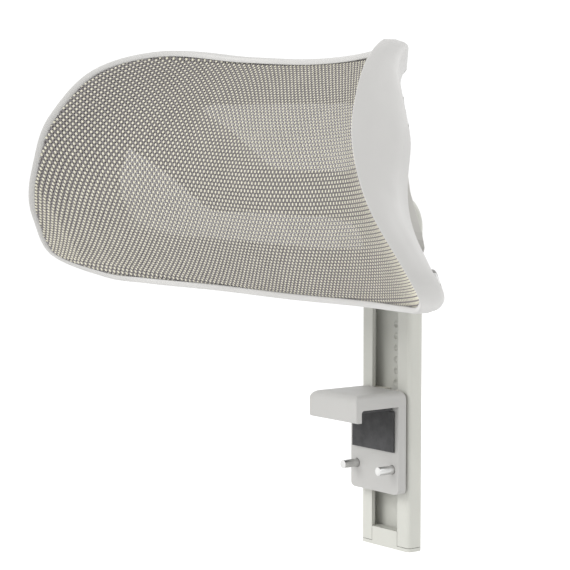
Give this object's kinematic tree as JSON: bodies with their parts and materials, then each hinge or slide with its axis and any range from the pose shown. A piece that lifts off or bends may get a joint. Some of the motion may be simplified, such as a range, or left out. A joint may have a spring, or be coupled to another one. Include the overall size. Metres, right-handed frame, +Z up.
{
  "type": "chair headrest",
  "caption": "Wing-shaped mesh headrest on a tilting hinge, with a sliding mast that clicks in steps and a hook bracket that clips over a chair's top rail.",
  "frame": {"origin": "middle of the saddle: the underside of the top rail pad, where the hook rests on the chair's rail", "axes": "+X across the chair to the viewer's right when the headrest faces the viewer, -Y the way the headrest faces, +Z up along the mast"},
  "size_m": [0.331, 0.1524, 0.2822],
  "materials": {
    "shell_plastic": "fine satin moulded polypropylene, light warm grey",
    "carrier_plastic": "moulded polypropylene, warm grey",
    "mast_plastic": "satin moulded nylon, light grey",
    "nylon": "natural nylon, slightly waxy",
    "steel": "zinc-plated",
    "spring_steel": "blued spring steel",
    "pad_rubber": "matt",
    "mesh_fabric": "open elastic weave, cream yarn over dark ground"
  },
  "bodies": {
    "bracket": {"hook_bracket": "shell_plastic", "slide_block": "nylon", "slide_block_screw_1": "steel", "slide_block_screw_2": "steel", "detent_spring": "spring_steel", "rail_pad_top": "pad_rubber", "rail_pad_rear": "pad_rubber", "mounting_screw_1": "steel", "mounting_screw_2": "steel"},
    "mast": {"mast": "mast_plastic", "mast_end_stop": "mast_plastic", "end_stop_screw": "steel", "hinge_pin": "steel", "hinge_nut": "steel", "hinge_bush_left": "nylon", "friction_washer_left": "steel", "hinge_cap_left": "shell_plastic", "hinge_bush_right": "nylon", "friction_washer_right": "steel", "hinge_cap_right": "shell_plastic"},
    "headrest": {"headrest_shell": "shell_plastic", "mesh_carrier": "carrier_plastic", "mesh_panel": "mesh_fabric", "mesh_spline": "nylon", "frame_screw_1": "steel", "frame_screw_2": "steel", "frame_screw_3": "steel", "frame_screw_4": "steel", "frame_screw_5": "steel", "frame_screw_6": "steel", "frame_screw_7": "steel", "frame_screw_8": "steel", "tilt_bracket": "shell_plastic", "tilt_bracket_screw_1": "steel", "tilt_bracket_screw_2": "steel", "tilt_bracket_screw_3": "steel", "tilt_bracket_screw_4": "steel"}
  },
  "joints": [
    {"name": "mast_slide", "type": "slide", "parent": "bracket", "child": "mast", "axis": [0, 0, 1], "range_m": [-0.0399, 0.0266], "deforming": ["detent_spring"]},
    {"name": "headrest_tilt", "type": "hinge", "parent": "mast", "child": "headrest", "pos_m": [0, -0.014, 0.118], "axis": [-1, 0, 0], "range_deg": [0, 32]}
  ]
}
